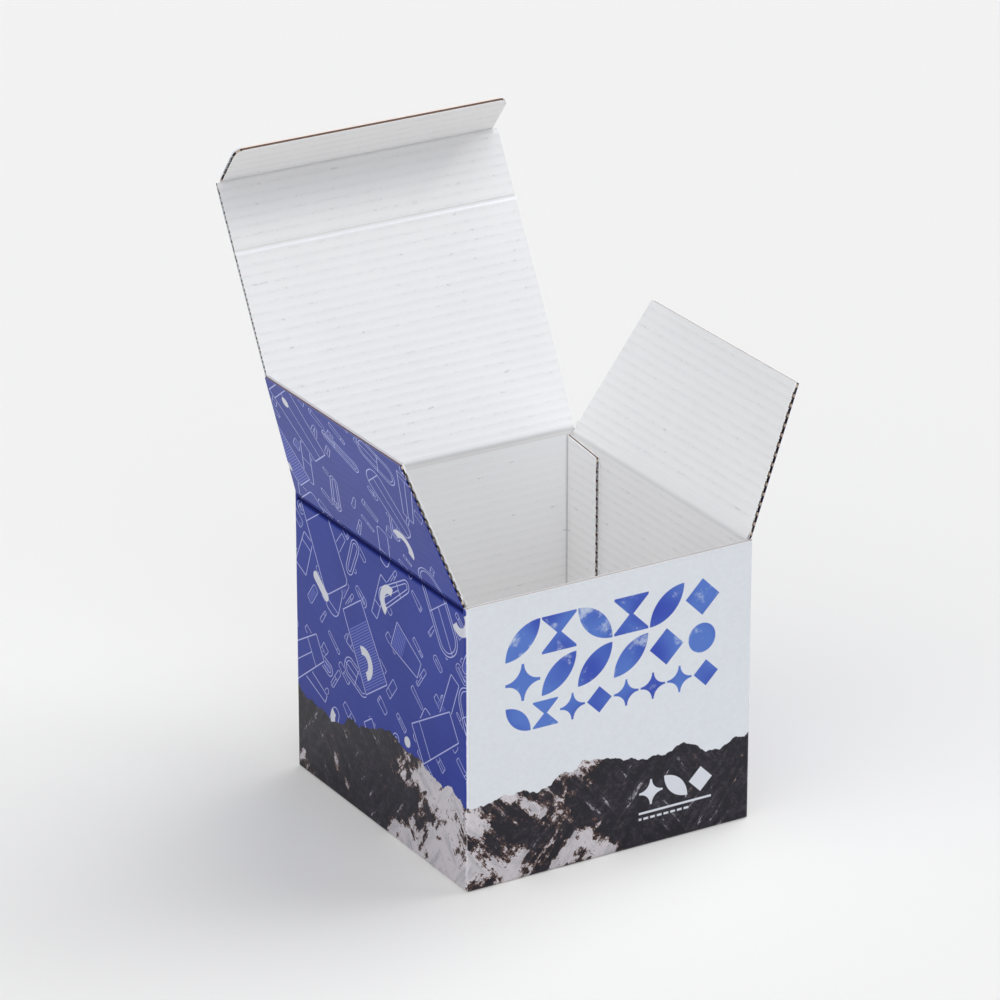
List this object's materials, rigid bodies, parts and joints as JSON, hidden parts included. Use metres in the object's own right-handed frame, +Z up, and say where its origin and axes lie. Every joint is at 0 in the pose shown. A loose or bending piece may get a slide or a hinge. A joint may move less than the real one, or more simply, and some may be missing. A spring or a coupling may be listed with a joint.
{
  "type": "corrugated mailer box",
  "caption": "Tuck-top carton of printed fine-flute corrugated board, open, with a hinged lid, a tuck flap, two dust flaps and a locked bottom.",
  "frame": {"origin": "centre of the carton's footprint, on the surface it stands on", "axes": "+Z up, -Y out of the front panel, which the lid tucks behind; the lid is hinged on the +Y side, the glue seam is in the +X, +Y corner"},
  "size_m": [0.1499, 0.1632, 0.2078],
  "materials": {
    "body_board": "white-lined corrugated board, printed outside in blue and grey, matt",
    "lid_board": "white-lined corrugated board, matt",
    "left_flap_board": "white-lined corrugated board, printed blue outside, matt",
    "right_flap_board": "white-lined corrugated board, printed blue outside, matt"
  },
  "bodies": {
    "carton_body": {"box_body": "body_board"},
    "lid_body": {"lid": "lid_board"},
    "tuck_body": {"tuck_flap": "lid_board"},
    "left_flap_body": {"left_dust_flap": "left_flap_board"},
    "right_flap_body": {"right_dust_flap": "right_flap_board"}
  },
  "joints": [
    {"name": "lid_hinge", "type": "hinge", "parent": "carton_body", "child": "lid_body", "pos_m": [0, 0.0551, 0.1013], "axis": [1, 0, 0], "range_deg": [-60.7, 109.8]},
    {"name": "tuck_fold", "type": "hinge", "parent": "lid_body", "child": "tuck_body", "pos_m": [0, 0.10683, 0.19348], "axis": [1, 0, 0], "range_deg": [-67, 28]},
    {"name": "left_flap_hinge", "type": "hinge", "parent": "carton_body", "child": "left_flap_body", "pos_m": [-0.0534, 0, 0.0995], "axis": [0, 1, 0], "range_deg": [-70.5, 109.5]},
    {"name": "right_flap_hinge", "type": "hinge", "parent": "carton_body", "child": "right_flap_body", "pos_m": [0.0534, 0, 0.0995], "axis": [0, -1, 0], "range_deg": [-63, 117]}
  ]
}
